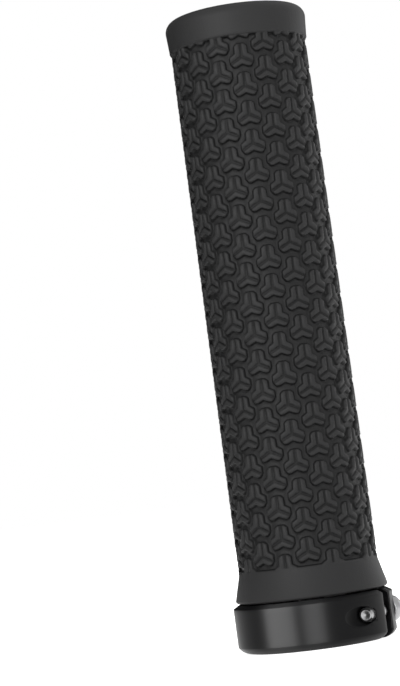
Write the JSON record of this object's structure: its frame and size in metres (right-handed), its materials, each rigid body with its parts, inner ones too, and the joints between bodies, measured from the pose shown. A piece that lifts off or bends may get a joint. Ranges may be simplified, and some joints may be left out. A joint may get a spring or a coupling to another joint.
{
  "type": "handlebar grip",
  "caption": "Lock-on bicycle handlebar grip: rubber sleeve with a moulded tread of three-armed pads, hard core, split clamp ring and cross screw.",
  "frame": {"origin": "on the bar's axis, in the flat face of the clamp ring that the grip stands on", "axes": "+Z along the bar towards its outer end, +X out through the middle of the ring's slit, +Y along the cross screw from its tip to its head"},
  "size_m": [0.0326, 0.0324, 0.13],
  "materials": {
    "sleeve_rubber": "matt moulded rubber",
    "core_plastic": "moulded black plastic",
    "ring_anodised": "gloss black anodised",
    "screw_steel": "bright plated"
  },
  "bodies": {
    "root": {"rubber_sleeve": "sleeve_rubber", "inner_core": "core_plastic", "clamp_ring": "ring_anodised", "clamp_screw": "screw_steel"}
  },
  "joints": []
}
